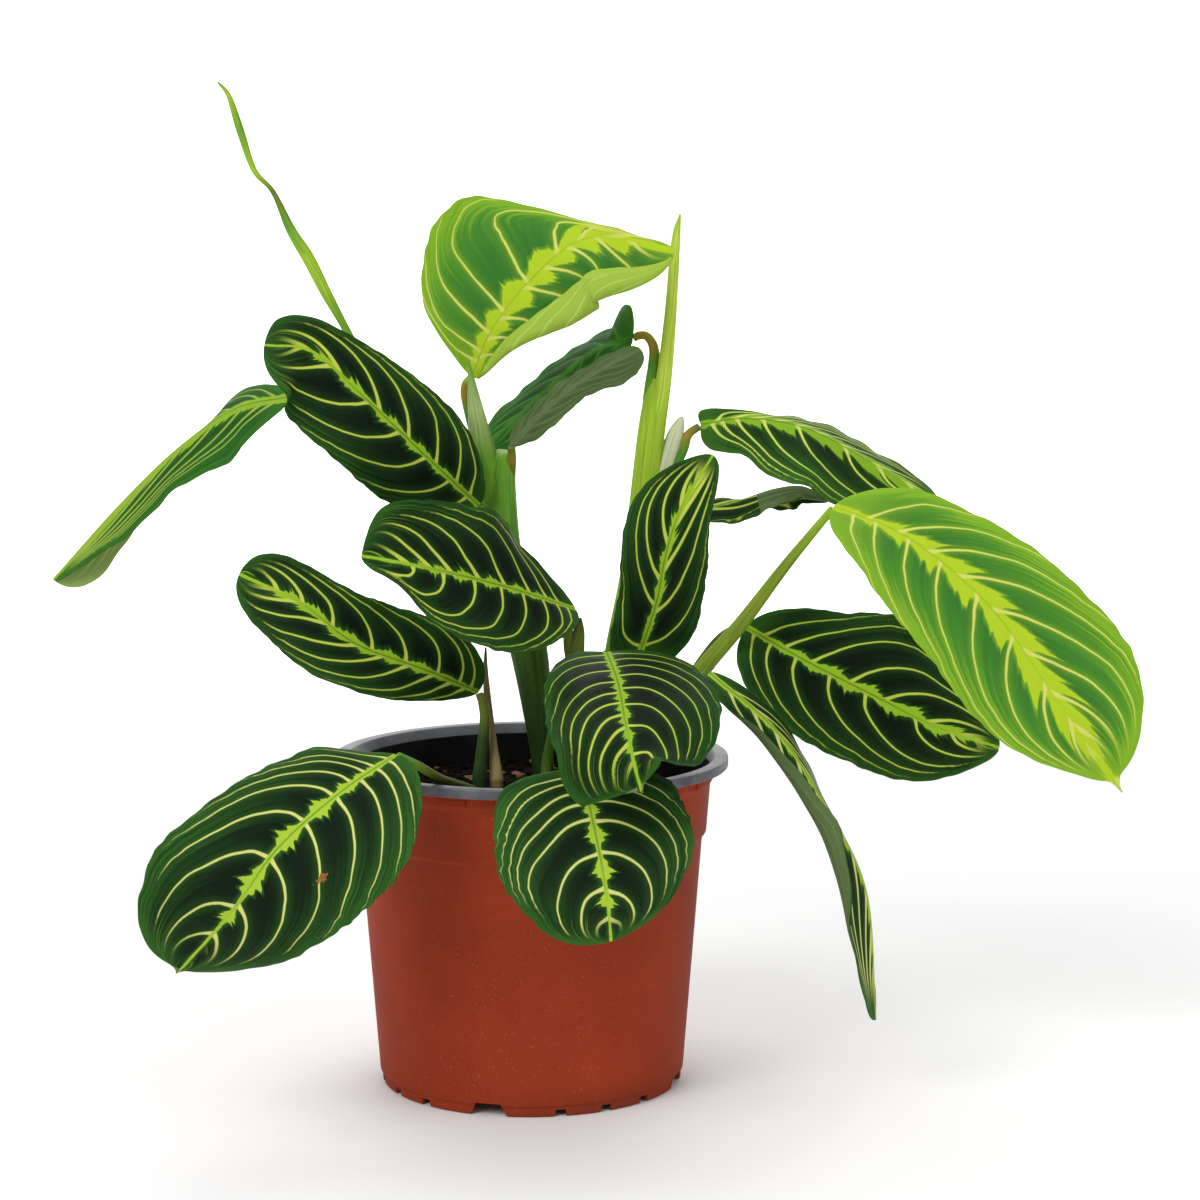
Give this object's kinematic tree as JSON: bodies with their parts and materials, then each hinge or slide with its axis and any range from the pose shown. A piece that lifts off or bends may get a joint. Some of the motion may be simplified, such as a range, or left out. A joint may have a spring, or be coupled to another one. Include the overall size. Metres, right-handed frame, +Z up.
{
  "type": "potted prayer plant maranta",
  "caption": "Leafy prayer plant with broad patterned oval leaves on upright and arching stems, standing in a round tapered nursery pot filled with soil.",
  "frame": {"origin": "under the middle of the plant's bounding box, on the surface that the pot stands on", "axes": "+Z up; -Y towards the front, the side seen in the picture; +X to the right as seen from the front"},
  "size_m": [0.3266, 0.1666, 0.3021],
  "materials": {
    "pot": "matte terracotta red",
    "soil": "moist dark brown crumbs",
    "stem_green": "smooth mid green",
    "stem_lime": "smooth yellow green",
    "stem_dark": "smooth dark green",
    "stem_olive": "smooth olive",
    "stem_dry": "dry tan fibres",
    "leaf_dark": "satin dark green with pale veins",
    "leaf_lime": "satin mid green with lime veins"
  },
  "bodies": {
    "root": {"pot": "pot", "soil": "soil", "shoot_left": "stem_green", "shoot_tall": "stem_lime", "shoot_right": "stem_green", "shoot_middle": "stem_green", "stalk_left_middle": "stem_dark", "stalk_low_left": "stem_olive", "stalk_low_front": "stem_dark", "stalk_centre": "stem_green", "dry_stem": "stem_dry", "leaf_top": "leaf_lime", "leaf_upper_left": "leaf_dark", "leaf_left_front": "leaf_dark", "leaf_left_middle": "leaf_dark", "leaf_low_left": "leaf_dark", "leaf_low_front": "leaf_dark", "leaf_centre": "leaf_dark", "leaf_upright": "leaf_dark", "leaf_upper_right": "leaf_lime", "leaf_big_right": "leaf_lime", "leaf_right_back": "leaf_dark", "leaf_hanging_right": "leaf_dark", "leaf_behind_top": "leaf_dark", "leaf_small_back": "leaf_dark", "leaf_far_left": "leaf_lime", "leaf_under_back": "leaf_dark"}
  },
  "joints": []
}
